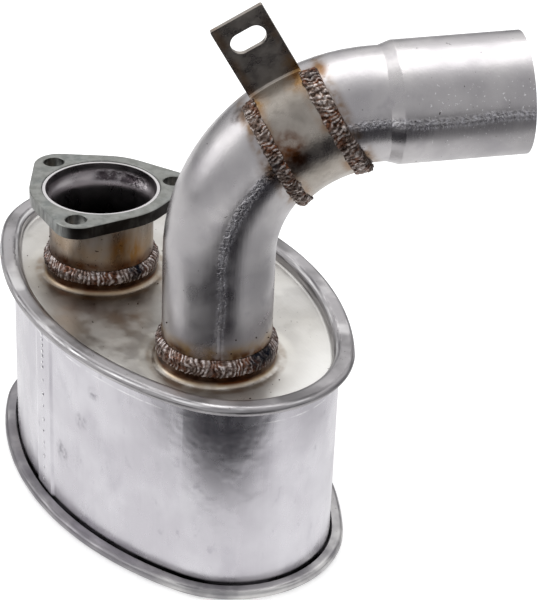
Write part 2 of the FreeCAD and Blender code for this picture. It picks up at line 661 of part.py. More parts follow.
PIECES = {
    "shell": make_shell,
    "top_end_plate": make_top_end_plate,
    "bottom_end_plate": make_bottom_end_plate,
    "inlet_flange": make_inlet_flange,
    "inlet_pipe": make_inlet_pipe,
    "inlet_flange_weld": make_inlet_flange_weld,
    "inlet_collar_weld": lambda: make_collar_weld(INLET_X, INLET_Y, INLET_WELD_RISE),
    "outlet_pipe": make_outlet_pipe,
    "outlet_collar_weld": lambda: make_collar_weld(OUTLET_X, OUTLET_Y, OUTLET_WELD_RISE),
    "hanger_bracket": make_hanger_bracket,
    "bracket_weld_lower": lambda: make_strap_weld(-1, LOWER_WELD_WIDTH, LOWER_WELD_OVERLAP),
    "bracket_weld_upper": lambda: make_strap_weld(1, UPPER_WELD_WIDTH, UPPER_WELD_OVERLAP),
    "upper_baffle": lambda: make_baffle(UPPER_BAFFLE_Z),
    "lower_baffle": lambda: make_baffle(LOWER_BAFFLE_Z),
    "inlet_perforated_tube": make_inlet_perforated_tube,
    "inlet_tube_cap": make_inlet_tube_cap,
    "outlet_inner_tube": make_outlet_inner_tube,
    "transfer_tube": make_transfer_tube,
}

os.makedirs("parts", exist_ok=True)
for name, make in PIECES.items():
    shape = make()
    shape.translate(FreeCAD.Vector(-INLET_X, -INLET_Y, -FLANGE_TOP))
    shape.exportStep(os.path.join("parts", name + ".step"))
    print(name, "solids", len(shape.Solids), "valid", shape.isValid(), "volume", round(shape.Volume, 1))
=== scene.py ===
"""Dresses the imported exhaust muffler: finishes, rippled weld beads, studio and camera. Metres, +Z up."""

import json
import logging
import math
import random
from dataclasses import dataclass
from enum import Enum
from functools import cached_property
from typing import Any, Iterable, Sequence

import bmesh
import bpy
from mathutils import Matrix, Vector, noise

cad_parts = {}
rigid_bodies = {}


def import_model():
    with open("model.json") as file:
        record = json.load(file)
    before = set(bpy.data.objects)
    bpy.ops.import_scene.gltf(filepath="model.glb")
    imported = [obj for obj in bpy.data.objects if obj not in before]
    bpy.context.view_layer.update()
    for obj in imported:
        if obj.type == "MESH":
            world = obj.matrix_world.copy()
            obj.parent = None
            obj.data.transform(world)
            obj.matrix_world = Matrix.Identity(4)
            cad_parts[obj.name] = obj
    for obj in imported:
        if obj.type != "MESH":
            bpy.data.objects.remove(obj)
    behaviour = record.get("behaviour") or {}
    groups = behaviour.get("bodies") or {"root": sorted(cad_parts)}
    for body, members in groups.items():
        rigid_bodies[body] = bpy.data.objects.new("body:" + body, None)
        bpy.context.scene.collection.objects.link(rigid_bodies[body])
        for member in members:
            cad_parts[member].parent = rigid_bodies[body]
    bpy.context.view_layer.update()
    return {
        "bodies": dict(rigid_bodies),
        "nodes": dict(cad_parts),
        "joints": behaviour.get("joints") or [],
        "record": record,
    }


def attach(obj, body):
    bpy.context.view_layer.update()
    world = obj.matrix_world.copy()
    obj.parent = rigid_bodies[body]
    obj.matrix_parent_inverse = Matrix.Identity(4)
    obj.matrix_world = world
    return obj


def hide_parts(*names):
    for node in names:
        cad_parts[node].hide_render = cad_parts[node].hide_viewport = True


LOG = logging.getLogger("muffler")
MM = 0.001
ORIGIN = (0, 0, 0)
UP = Vector((0, 0, 1))
LENGTHWISE = (1, 0, 0)
CROSSWISE = (0, 1, 0)

# Levels of the muffler, in millimetres from the inlet flange's sealing face
FLANGE_WELD_FOOT = -14.5
RIM_TOP = -41.9
PANEL_TOP = -48.5
BASE = -157.4

Colour = tuple[float, float, float, float]
Point = tuple[float, float, float]
# A colour, then the masks that it shows through together
Coat = tuple[Any, ...]


class Kind(Enum):
    """Shader nodes in use: name, inputs in the order of their values, output that is read, settings."""

    PLACE = ("ShaderNodeTexCoord", (), "Object", {})
    DIRECTION = ("ShaderNodeTexCoord", (), "Generated", {})
    ENLARGE = ("ShaderNodeVectorMath", (0, "Scale"), 0, {"operation": "SCALE"})
    SPREAD = ("ShaderNodeMapping", ("Vector", "Scale"), 0, {})
    CLOUDS = ("ShaderNodeTexNoise", ("Vector", "Scale", "Detail"), 0, {})
    FADE = ("ShaderNodeMapRange", (0, 1, 2, 3, 4), 0, {"interpolation_type": "SMOOTHSTEP"})
    PLUS = ("ShaderNodeMath", (0, 1), 0, {"operation": "ADD"})
    MINUS = ("ShaderNodeMath", (0, 1), 0, {"operation": "SUBTRACT"})
    TIMES = ("ShaderNodeMath", (0, 1), 0, {"operation": "MULTIPLY"})
    HIGHER = ("ShaderNodeMath", (0, 1), 0, {"operation": "MAXIMUM"})
    EXCEEDS = ("ShaderNodeMath", (0, 1), 0, {"operation": "GREATER_THAN"})
    SIZE = ("ShaderNodeMath", (0,), 0, {"operation": "ABSOLUTE"})
    ROOT = ("ShaderNodeMath", (0,), 0, {"operation": "SQRT"})
    OFFSET = ("ShaderNodeVectorMath", (0, 1), 0, {"operation": "SUBTRACT"})
    FLATTEN = ("ShaderNodeVectorMath", (0, 1), 0, {"operation": "MULTIPLY"})
    REACH = ("ShaderNodeVectorMath", (0, 1), "Value", {"operation": "DOT_PRODUCT"})
    DISTANCE = ("ShaderNodeVectorMath", (0, 1), "Value", {"operation": "DISTANCE"})
    RISE = ("ShaderNodeSeparateXYZ", (0,), "Z", {})
    CREST = ("ShaderNodeAttribute", (), "Fac", {"attribute_name": "crest"})
    LAY = ("ShaderNodeMix", (6, 7, 0), 2, {"data_type": "RGBA"})
    CHOOSE = ("ShaderNodeMix", (2, 3, 0), 0, {"data_type": "FLOAT"})
    RELIEF = ("ShaderNodeBump", ("Height", "Distance", "Normal"), 0, {})
    METAL = ("ShaderNodeBsdfPrincipled", ("Base Color", "Roughness", "Metallic", "Normal"), 0, {})
    PAPER = ("ShaderNodeBsdfDiffuse", (0,), 0, {})
    GLOW = ("ShaderNodeEmission", (0, 1), 0, {})
    TOGETHER = ("ShaderNodeAddShader", (0, 1), 0, {})
    BLEND = ("ShaderNodeMixShader", (0, 1, 2), 0, {})
    SEEN = ("ShaderNodeLightPath", (), "Is Camera Ray", {})
    MIRRORED = ("ShaderNodeLightPath", (), "Is Glossy Ray", {})
    SEEN_THROUGH = ("ShaderNodeLightPath", (), "Is Transmission Ray", {})
    SKY = ("ShaderNodeBackground", (0, 1), 0, {})
    MATERIAL_END = ("ShaderNodeOutputMaterial", (0,), None, {})
    WORLD_END = ("ShaderNodeOutputWorld", (0,), None, {})


def linear(colour: str) -> Colour:
    """Turns an sRGB hex colour into linear light.

    Args:
        colour: Six hex digits after a hash.

    Returns:
        Red, green and blue in linear light, and an alpha of 1.
    """
    parts = [int(colour[i : i + 2], 16) / 255 for i in (1, 3, 5)]
    light = [p / 12.92 if p <= 0.04045 else ((p + 0.055) / 1.055) ** 2.4 for p in parts]
    return (light[0], light[1], light[2], 1.0)


class Graph:
    """A finish in the making: patterns and places in real millimetres, laid over one another."""

    def __init__(self, owner: bpy.types.Material | bpy.types.World) -> None:
        """Empties the owner's node tree.

        Args:
            owner: Material or world that is being made.
        """
        owner.use_nodes = True
        self.owner = owner
        self.tree = owner.node_tree
        self.tree.nodes.clear()

    def add(self, kind: Kind, *values: Any) -> Any:
        """Adds one node with its settings and links.

        Args:
            kind: What the node is.
            values: Numbers, hex colours or sockets for its inputs, in the order that its kind gives.

        Returns:
            The output that its kind is read from, or None where it has none.
        """
        name, inputs, output, settings = kind.value
        node = self.tree.nodes.new(name)
        for key, setting in settings.items():
            setattr(node, key, setting)
        for place, value in zip(inputs, values):
            if isinstance(value, bpy.types.NodeSocket):
                self.tree.links.new(value, node.inputs[place])
            else:
                node.inputs[place].default_value = linear(value) if isinstance(value, str) else value
        return None if output is None else node.outputs[output]

    @cached_property
    def place(self) -> Any:
        """Object coordinates, in millimetres."""
        return self.add(Kind.ENLARGE, self.add(Kind.PLACE), 1 / MM)

    @cached_property
    def height(self) -> Any:
        """Height above the inlet flange's sealing face."""
        return self.along(ORIGIN, UP)

    def along(self, origin: Sequence[float], direction: Sequence[float]) -> Any:
        """Distance from a point along a direction."""
        return self.add(Kind.REACH, self.add(Kind.OFFSET, self.place, origin), direction)

    def from_axis(self, x: float, y: float) -> Any:
        """Distance from an upright axis."""
        return self.add(Kind.DISTANCE, self.add(Kind.FLATTEN, self.place, (1, 1, 0)), (x, y, 0))

    def grain(
        self,
        size: float,
        low: float = 0.0,
        high: float = 1.0,
        stretch: Sequence[float] = (1, 1, 1),
        detail: float = 3.0,
        band: tuple[float, float] = (0.35, 0.65),
    ) -> Any:
        """Cloudy pattern of a real size.

        Args:
            size: Size of its blotches.
            low: Value of the dark blotches.
            high: Value of the light ones.
            stretch: How many times longer the blotches are along X, Y and Z.
            detail: How many finer layers it has.
            band: Part of the noise that is spread between low and high.

        Returns:
            The pattern's socket.
        """
        spread = self.add(Kind.SPREAD, self.place, [1 / (size * times) for times in stretch])
        return self.add(Kind.FADE, self.add(Kind.CLOUDS, spread, 1.0, detail), *band, low, high)

    def stripe(self, distance: Any, at: float, width: float, soft: float) -> Any:
        """Mask that is 1 where a distance is within a width of a value.

        Args:
            distance: Socket of the distance.
            at: Value in the stripe's middle.
            width: Half of the stripe's width.
            soft: How far its edges fade to either side.

        Returns:
            The mask's socket.
        """
        gap = self.add(Kind.SIZE, self.add(Kind.MINUS, distance, at))
        return self.add(Kind.FADE, gap, width + soft, max(width - soft, 0))

    def spot(self, centre: Sequence[float], radius: float, soft: float) -> Any:
        """Round mask about a point, with a soft edge."""
        distance = self.add(Kind.DISTANCE, self.place, centre)
        return self.add(Kind.FADE, distance, radius + soft, max(radius - soft, 0))

    def coats(self, base: Any, *coats: Coat) -> Any:
        """Lays colours over a base, one after the other.

        Args:
            base: Colour below all coats.
            coats: Each one's colour, then the masks that it shows through together.

        Returns:
            Socket of the finished colour.
        """
        for shade, mask, *others in coats:
            for other in others:
                mask = self.add(Kind.TIMES, mask, other)
            base = self.add(Kind.LAY, base, shade, mask)
        return base

    def bare_metal(self, colour: Any, roughness: Any, *reliefs: tuple[Any, float]) -> bpy.types.Material:
        """Ends the finish as bare metal.

        Args:
            colour: Socket of its colour.
            roughness: Socket of its roughness.
            reliefs: Each one's pattern and its depth in millimetres, each laid on the one before.

        Returns:
            The finished material.
        """
        under: tuple = ()
        for pattern, depth in reliefs:
            under = (self.add(Kind.RELIEF, pattern, depth * MM, *under),)
        self.add(Kind.MATERIAL_END, self.add(Kind.METAL, colour, roughness, 1.0, *under))
        return self.owner


def finish(name: str) -> Graph:
    """Starts a new material."""
    return Graph(bpy.data.materials.new(name))


@dataclass(frozen=True)
class Port:
    """Axis of a tube through the upper plate and the bead round it, in millimetres."""

    x: float
    y: float
    bead_low: float
    bead_high: float


INLET = Port(0.0, 0.0, -42.8, -35.3)
OUTLET = Port(107.0, 10.2, -42.8, -34.0)


@dataclass(frozen=True)
class Bend:
    """Course of the outlet tube: riser, bend and run, in millimetres and degrees."""

    start: float = 12.1
    radius: float = 76.0
    angle: float = 86.4
    heading: float = 67.0
    strap_at: float = 59.5

    @property
    def forward(self) -> Vector:
        """Level direction in which the tube bends."""
        return Vector((math.cos(math.radians(self.heading)), math.sin(math.radians(self.heading)), 0))

    def tangent(self, angle: float) -> Vector:
        """Direction of the tube at an angle of the bend."""
        return self.forward * math.sin(math.radians(angle)) + UP * math.cos(math.radians(angle))

    def outward(self, angle: float) -> Vector:
        """Direction from the bend's centre to the tube at an angle of the bend."""
        return UP * math.sin(math.radians(angle)) - self.forward * math.cos(math.radians(angle))

    @property
    def centre(self) -> Vector:
        """Point round which the tube bends."""
        return Vector((OUTLET.x, OUTLET.y, self.start)) + self.forward * self.radius

    def middle(self, angle: float) -> Vector:
        """Centre of the tube at an angle of the bend."""
        return self.centre + self.outward(angle) * self.radius

    def side_offset(self, g: Graph) -> Any:
        """Finds how far a point lies outside the tube's middle line, seen square to the bend's plane.

        Args:
            g: Finish that needs the distance.

        Returns:
            Socket of the distance, 0 on the line that faces sideways.
        """
        out = g.along(self.centre, -self.forward)
        above = g.add(Kind.HIGHER, g.along(self.centre, UP), 0.0)
        squares = g.add(Kind.PLUS, g.add(Kind.TIMES, out, out), g.add(Kind.TIMES, above, above))
        straight = g.along(self.centre, self.outward(self.angle))
        beyond = g.add(Kind.EXCEEDS, g.along(self.centre, self.tangent(self.angle)), 0.0)
        reach = g.add(Kind.CHOOSE, g.add(Kind.ROOT, squares), straight, beyond)
        return g.add(Kind.MINUS, reach, self.radius)


BEND = Bend()


@dataclass(frozen=True)
class RolledSheet:
    """Cold-rolled steel sheet of the shell: satin, cool grey, with faint marks along the roll.

    The real marks are about a tenth of a millimetre wide. They are drawn at 1 mm and more, so that they show.
    """

    base: str = "#C9C6CC"
    light: str = "#D9D7DC"
    dark: str = "#AFACB4"
    stain: str = "#9A97A0"
    smudge: str = "#7F7C84"
    seam_line: str = "#EDECEE"
    # Painted shadow on the shell, just above the lower rim and just below the upper rim
    low_rim_shadow: str = "#252327"
    high_rim_shadow: str = "#3A383C"
    seam_line_level: float = RIM_TOP - 13.9
    low_rim_shadow_edge: tuple[float, float] = (BASE + 8.1, BASE + 6.2)
    high_rim_shadow_edge: tuple[float, float] = (RIM_TOP - 7.7, RIM_TOP - 6.5)
    smudges: tuple[tuple[Point, float], ...] = (
        ((74.7, -49.3, -88.7), 4.0),
        ((56.7, -51.6, -116.0), 5.0),
        ((84.4, -47.2, -66.9), 3.0),
    )
    # Painted shadow and highlight lines of the lap, by place, half width, softness, colour and cloudiness: a
    # painted shadow along the outer layer's edge, a painted highlight beside it, painted soft shade at the
    # inner step
    lap_lines: tuple[tuple[float, float, float, str, Point], ...] = (
        (28.6, 0.30, 0.25, "#5E5B63", (14, 0.35, 0.9)),
        (29.7, 0.45, 0.4, "#EFEEF1", (14, 0.2, 0.7)),
        (46.5, 0.8, 1.2, "#8E8B94", (20, 0.1, 0.45)),
    )

    def lap(self, g: Graph) -> Iterable[Coat]:
        """Painted shadow and highlight lines along the lap's edges, down the front of the shell.

        Args:
            g: Finish in the making.

        Yields:
            The coats.
        """
        across = g.along(ORIGIN, LENGTHWISE)
        front = g.add(Kind.FADE, g.along(ORIGIN, CROSSWISE), -40, -48)
        for at, width, soft, shade, cloud in self.lap_lines:
            # painted shadow and highlight lines along the lap
            yield shade, g.stripe(across, at, width, soft), front, g.grain(*cloud)

    def build(self) -> bpy.types.Material:
        """Makes the shell's material.

        Returns:
            The material, with smudges, the faint line below the upper seam and painted shadow where it meets
            the rims.
        """
        g = finish("cold rolled shell sheet")
        speckle = g.grain(3, 0.1, 0.75, detail=4)
        line_cloud = g.grain(6, high=0.8, detail=2)
        colour = g.coats(
            self.base,
            (self.light, g.grain(34, high=0.85)),
            (self.dark, g.grain(15, high=0.45, stretch=(1, 1, 1.8), detail=5, band=(0.50, 0.80))),
            (self.light, g.grain(1.6, high=0.07, stretch=(1, 1, 30), detail=2)),
            (self.stain, g.grain(6, high=0.40, stretch=(1, 1, 1.4), detail=4, band=(0.62, 0.80))),
            *((self.smudge, g.spot(centre, radius, 2.5), speckle) for centre, radius in self.smudges),
            (self.seam_line, g.stripe(g.height, self.seam_line_level, 0.35, 0.3), line_cloud),
            *self.lap(g),
            # painted shadow above the lower rim, then below the upper rim
            (self.low_rim_shadow, g.add(Kind.FADE, g.height, *self.low_rim_shadow_edge), g.grain(24, 0.55)),
            (self.high_rim_shadow, g.add(Kind.FADE, g.height, *self.high_rim_shadow_edge), g.grain(24, 0.35, 0.8)),
        )
        scratches = g.grain(1.0, stretch=(1, 1, 30), detail=2)
        roughness = g.grain(12, 0.25, 0.32, (1, 1, 2), 4)
        return g.bare_metal(colour, roughness, (scratches, 0.004), (g.grain(26), 0.16))


@dataclass(frozen=True)
class PressedSheet:
    """Pressed steel end plate: dull warm grey panel, streaky rolled rim, scorched round the welded collars.

    The streaks that the rolling tool leaves are finer than they are drawn here, which is 1 mm and more.
    """

    base: str = "#D3D0C9"
    light: str = "#E6E4DF"
    dull: str = "#ADAAA0"
    rim: str = "#ACA9AB"
    rim_dark: str = "#6E6C6D"
    rim_light: str = "#EAE8E8"
    rim_gleam: str = "#F6F5F2"
    # Darker towards the bottom rim
    bottom_rim_darkening: str = "#77747A"
    speck: str = "#4C453C"
    # Heat haze on the panel, with a painted reflection of the tube towards the camera
    haze_and_reflection: str = "#6F5F4E"
    foot: str = "#7A5E3E"
    scorch: str = "#2E1A10"
    rust: str = "#6A3E22"
    straw: str = "#B3A084"
    # Strength of the haze and painted reflection at each collar, and the direction towards the camera where
    # it is strongest
    inlet_haze_and_reflection: float = 0.85
    outlet_haze_and_reflection: float = 0.45
    reflection_side: Point = (0.87, -0.49, 0)
    # Painted highlight and groove-shadow lines along the rims' profile: level, half width, colour and
    # strength
    lines: tuple[tuple[float, float, str, float], ...] = (
        (RIM_TOP - 0.35, 0.15, "#59575B", 0.75),
        (RIM_TOP - 1.0, 0.35, "#F2F1F2", 0.8),
        (RIM_TOP - 2.4, 0.30, "#4C4A4D", 0.75),
        (RIM_TOP - 5.7, 0.30, "#3E3C40", 0.70),
        (BASE + 7.4, 0.40, "#F2F1F2", 0.7),
        (BASE + 5.2, 0.30, "#48464A", 0.75),
        (BASE + 1.8, 0.40, "#3E3C40", 0.70),
    )

    def heat(self, g: Graph, port: Port, shade: float) -> Iterable[Coat]:
        """Heat tints of one collar: haze on the panel, with a painted reflection of the tube on its side
        towards the camera, straw on the fillet, rust and scorch at the bead.

        Args:
            g: Finish in the making.
            port: Collar that is tinted.
            shade: How strong the haze and painted reflection on the panel are.

        Yields:
            The coats, from the panel up to the bead.
        """
        reach = g.from_axis(port.x, port.y)
        near = g.add(Kind.FADE, reach, 40, 33)
        front = g.add(Kind.FADE, g.along((port.x, port.y, 0), self.reflection_side), -30, 30, 0.2, 1.0)
        # heat haze and a painted reflection of the tube, stronger towards the camera
        yield self.haze_and_reflection, g.add(Kind.FADE, reach, 54, 33, 0, shade), front, g.grain(22, 0.70)
        yield self.foot, g.add(Kind.FADE, reach, 36.5, 34.0), g.grain(8, 0.1, 0.5)
        for tint, low, high, cloud in (
            (self.straw, 0.2, 1.6, g.grain(13, 0.30, 0.95)),
            (self.rust, 0.8, 2.4, g.grain(10, 0.55)),
            (self.scorch, 1.6, 3.6, g.grain(7, 0.7)),
        ):
            yield tint, near, g.add(Kind.FADE, g.height, PANEL_TOP + low, PANEL_TOP + high), cloud

    def rims(self, g: Graph) -> Iterable[Coat]:
        """Streaks along the two rolled rims, and painted highlight and shadow lines along their profile.

        Args:
            g: Finish in the making.

        Yields:
            The coats, from the rims' plain colour to their lines.
        """
        edge = g.add(Kind.FADE, g.height, PANEL_TOP - 1.0, PANEL_TOP + 2.0)
        below = g.add(Kind.FADE, g.height, PANEL_TOP - 2.5, PANEL_TOP - 3.5)
        off_each = [g.add(Kind.FADE, g.from_axis(port.x, port.y), 38, 42) for port in (INLET, OUTLET)]
        off_collars = g.add(Kind.TIMES, *off_each)
        rim = g.add(Kind.TIMES, g.add(Kind.HIGHER, edge, below), off_collars)
        bright_end = g.add(Kind.FADE, g.along(ORIGIN, LENGTHWISE), 95, 145, 0, 0.8)
        yield self.rim, rim
        yield self.rim_dark, rim, g.grain(1.3, high=0.75, stretch=(26, 26, 1), band=(0.48, 0.66))
        yield self.rim_light, rim, g.grain(1.1, high=0.7, stretch=(30, 30, 1), band=(0.56, 0.70))
        yield self.rim_gleam, bright_end, g.add(Kind.FADE, g.height, PANEL_TOP + 1.3, PANEL_TOP + 0.5)
        # painted highlight and groove-shadow lines along the rims
        for level, width, shade, strength in self.lines:
            stroke = g.add(Kind.TIMES, g.stripe(g.height, level, width, 0.25), g.grain(22, 0.25))
            yield shade, stroke, off_collars, g.add(Kind.FADE, stroke, 0.0, 1.0, 0, strength)
        # darker towards the bottom rim
        yield self.bottom_rim_darkening, g.add(Kind.FADE, g.height, BASE + 17.4, BASE + 9.4), g.grain(18, 0.35, 0.80)

    def build(self) -> bpy.types.Material:
        """Makes the end plates' material.

        Returns:
            The material, which both plates share.
        """
        g = finish("pressed end plate sheet")
        colour = g.coats(
            self.base,
            (self.light, g.grain(38, high=0.8)),
            (self.dull, g.grain(9, high=0.35, detail=5, band=(0.52, 0.78))),
            *self.rims(g),
            (self.speck, g.grain(1.6, detail=2, band=(0.70, 0.74)), g.grain(24, band=(0.5, 0.6))),
            *self.heat(g, INLET, self.inlet_haze_and_reflection),
            *self.heat(g, OUTLET, self.outlet_haze_and_reflection),
        )
        brushing = g.grain(1.2, stretch=(6, 1, 1), detail=2)
        return g.bare_metal(colour, g.grain(14, 0.30, 0.46, detail=4), (brushing, 0.012), (g.grain(30), 0.10))


@dataclass(frozen=True)
class MachinedPlate:
    """Thick steel flange: dull ground faces with faint patches, sawn sides, near black on the right with mill
    scale and a painted dark reflection.
    """

    base: str = "#838480"
    patch: str = "#787C7B"
    light: str = "#A9AAA7"
    pore: str = "#6F706C"
    sawn: str = "#4C4C4B"
    # Mill scale with a painted dark reflection, on the sides towards the right and the camera
    scale: str = "#2A2725"
    dark_reflection_side: Point = (0.970, 0.242, 0)

    def build(self) -> bpy.types.Material:
        """Makes the inlet flange's material.

        Returns:
            The material.
        """
        g = finish("machined flange plate")
        under_face = g.add(Kind.FADE, g.height, -0.3, -0.7)
        side = g.add(Kind.TIMES, under_face, g.add(Kind.FADE, g.from_axis(INLET.x, INLET.y), 35.0, 36.0))
        right = g.add(Kind.FADE, g.along(ORIGIN, self.dark_reflection_side), 18, 26)
        colour = g.coats(
            self.base,
            (self.patch, g.grain(16, high=0.8, band=(0.45, 0.62))),
            (self.light, g.grain(5, high=0.45, detail=4)),
            (self.pore, g.grain(1.6, high=0.5, band=(0.60, 0.75))),
            (self.sawn, side, g.grain(2.2, 0.1, 0.8, (1, 1, 8))),
            # mill scale and painted dark reflection on the right-hand sides
            (self.scale, side, right, g.grain(9, 0.80)),
        )
        saw_marks = g.grain(1.1, stretch=(1, 1, 4))
        return g.bare_metal(colour, g.grain(8, 0.30, 0.44, detail=4), (saw_marks, 0.02))


@dataclass(frozen=True)
class DrawnInletTube:
    """Drawn steel tube of the inlet: straw and brown from the welds at both ends, grey inside, with painted
    shade deep in the bore.
    """

    base: str = "#80776E"
    light: str = "#ABA59F"
    warm: str = "#A88455"
    straw: str = "#94692F"
    brown: str = "#5B3820"
    tan: str = "#7A5228"
    fleck: str = "#3A2A22"
    inside: str = "#ABA6A8"
    inside_light: str = "#B0ABAE"
    # Painted shade deep in the bore
    bore_shade: str = "#3C3937"
    burned: str = "#4A4347"
    glint: str = "#DAD3D8"
    lip: str = "#D8D5D6"
    bell_low: float = -11.5
    bell_high: float = -6.0
    wall_radius: float = 26.75
    mouth_wall_radius: float = 30.0
    scar_centre: Point = (-17.5, 21.8, 0)
    scar_course: Point = (0.78, 0.62, 0)
    scar_outward: Point = (-0.62, 0.78, 0)
    scar_level: float = -7.4

    def scar(self, g: Graph) -> Any:
        """Mask of the scar that the flange weld burned through to the mouth.

        Args:
            g: Finish in the making.

        Returns:
            Socket of the mask.
        """
        course = g.along(self.scar_centre, self.scar_course)
        mask = g.stripe(g.height, self.scar_level, 2.4, 0.9)
        for edge in (
            g.add(Kind.FADE, course, -17, -12),
            g.add(Kind.FADE, course, 17, 12),
            g.add(Kind.FADE, g.along(ORIGIN, self.scar_outward), 8, 16),
        ):
            mask = g.add(Kind.TIMES, mask, edge)
        return mask

    def build(self) -> bpy.types.Material:
        """Makes the inlet tube's material.

        Returns:
            The material, which tells the tube's inside from its outside by the middle of its wall.
        """
        g = finish("drawn inlet tube")
        scar = self.scar(g)
        flare = (self.bell_low, self.bell_high, self.wall_radius, self.mouth_wall_radius)
        wall = g.add(Kind.FADE, g.height, *flare)
        outside = g.add(Kind.EXCEEDS, g.from_axis(INLET.x, INLET.y), wall)
        inner = g.coats(
            self.inside,
            (self.inside_light, g.grain(9, high=0.7, detail=4)),
            (self.burned, scar, g.grain(6.0, 0.45, detail=2, band=(0.35, 0.6))),
            (self.glint, scar, g.grain(2.4, high=0.55, band=(0.60, 0.72))),
            # painted shade further down the bore
            (self.bore_shade, g.add(Kind.FADE, g.height, -13, -30)),
        )
        outer = g.coats(
            self.base,
            (self.light, g.grain(10, high=0.6, stretch=(1, 1, 3))),
            (self.warm, g.add(Kind.FADE, g.height, -12, -30, 0.10, 0.45), g.grain(12, 0.4)),
            (self.straw, g.spot((27.5, 1.5, -26), 9.5, 5.5), g.grain(6, 0.35, stretch=(1, 1, 2))),
            (self.brown, g.add(Kind.FADE, g.height, -28.5, -33.5), g.grain(8, 0.55)),
            (self.tan, g.add(Kind.FADE, g.height, FLANGE_WELD_FOOT, -10.5), g.grain(10, 0.1, 0.7)),
            (self.fleck, g.grain(2.2, high=0.8, detail=2, band=(0.69, 0.73))),
        )
        colour = g.coats(inner, (outer, outside), (self.lip, g.add(Kind.FADE, g.height, -1.3, -0.9)))
        draw_marks = g.grain(1.1, stretch=(1, 1, 20), detail=2)
        crust = g.add(Kind.TIMES, scar, g.grain(2.6))
        roughness = g.grain(9, 0.26, 0.34, (1, 1, 2), 4)
        return g.bare_metal(colour, roughness, (draw_marks, 0.012), (crust, 0.22))


@dataclass(frozen=True)
class SeamedTube:
    """Seam-welded steel tube of the outlet: satin grey, with a scraped seam down its side.

    The seam's scrape marks and the tube's draw marks are finer than they are drawn, so that they show.
    """

    base: str = "#B2AFB1"
    light: str = "#CAC7C7"
    dark: str = "#949097"
    brown: str = "#5E3C22"
    straw: str = "#A5895F"
    halo: str = "#7D6040"
    seam_light: str = "#E2E0E5"
    seam_dark: str = "#6B6870"
    light_fleck: str = "#F0EFF0"
    dark_fleck: str = "#3B3430"
    seam_offset: float = 1.3
    seam_facing: Point = (0.9205, -0.3907, 0)
    scrapes: tuple[tuple[float, str, float], ...] = (
        (-0.3, "#6A676F", 0.55),
        (0.9, "#EEEDEF", 0.8),
        (-1.5, "#E4E3E7", 0.6),
    )
    burns: tuple[tuple[Point, float, str], ...] = (
        ((116.8, 14.1, 88.2), 5.0, "#3A2E28"),
        ((129.5, 45.5, 109.5), 4.5, "#7C5A38"),
        ((140.7, 17.9, 68.5), 6.0, "#5A4230"),
    )
    weld_edges: tuple[float, float] = (-20.0, 21.5)

    def seam(self, g: Graph, track: Any, facing: Any, band: Any) -> Iterable[Coat]:
        """Speckled band of the seam, with its dark middle and two light scrape marks.

        Args:
            g: Finish in the making.
            track: Distance from the seam's middle.
            facing: Mask of the side that the seam is on.
            band: Mask of the seam's band.

        Yields:
            The coats.
        """
        yield self.seam_light, band, g.grain(1.7, 0.1, 0.8, (1, 1, 2), 4, (0.42, 0.6))
        yield self.seam_dark, band, g.grain(2.0, 0.0, 0.5, (1, 1, 3), 4, (0.55, 0.7))
        for offset, shade, strength in self.scrapes:
            worn = g.grain(7, 0.25 * strength, strength, detail=4)
            yield shade, g.stripe(track, offset, 0.3, 0.25), facing, worn

    def burn_marks(self, g: Graph) -> Iterable[Coat]:
        """Tints above the collar's bead, along the strap's welds and where spatter burned the tube.

        Args:
            g: Finish in the making.

        Yields:
            The coats.
        """
        yield self.straw, g.add(Kind.FADE, g.height, -24, -31), g.grain(9, 0.35, 0.95)
        yield self.brown, g.add(Kind.FADE, g.height, -28.5, -33.0), g.grain(6, 0.4)
        station = g.along(BEND.middle(BEND.strap_at), BEND.tangent(BEND.strap_at))
        for at in self.weld_edges:
            yield self.halo, g.stripe(station, at, 2.6, 2.6), g.grain(6, 0.1, 0.85)
        for centre, radius, shade in self.burns:
            yield shade, g.spot(centre, radius, 3.5), g.grain(4, 0.4)

    def build(self) -> bpy.types.Material:
        """Makes the outlet tube's material.

        Returns:
            The material. Its seam wanders a little, as a rolled tube's does.
        """
        g = finish("seam welded outlet tube")
        side = BEND.side_offset(g)
        facing = g.add(Kind.FADE, g.along((OUTLET.x, OUTLET.y, 0), self.seam_facing), 0, 8)
        wander = g.add(Kind.PLUS, side, g.grain(34, -0.7, 0.7, detail=1))
        track = g.add(Kind.MINUS, wander, self.seam_offset)
        band = g.add(Kind.TIMES, g.stripe(track, 0.4, 2.4, 1.2), facing)
        run = g.add(Kind.FADE, g.along(BEND.middle(BEND.angle), BEND.tangent(BEND.angle)), 0, 30)
        colour = g.coats(
            self.base,
            (self.light, g.grain(22, high=0.7)),
            (self.dark, g.grain(11, high=0.40, detail=5, band=(0.5, 0.75))),
            *self.seam(g, track, facing, band),
            *self.burn_marks(g),
            (self.light_fleck, g.grain(1.5, detail=2, band=(0.66, 0.72)), run, g.stripe(side, 4, 14, 5)),
            (self.dark_fleck, g.grain(2.4, high=0.8, detail=2, band=(0.735, 0.765))),
        )
        draw_marks = g.grain(1.2, stretch=(1, 1, 12), detail=2)
        scraped = g.add(Kind.TIMES, band, g.grain(1.6))
        roughness = g.grain(13, 0.27, 0.36, detail=4)
        return g.bare_metal(colour, roughness, (draw_marks, 0.010), (scraped, 0.10))


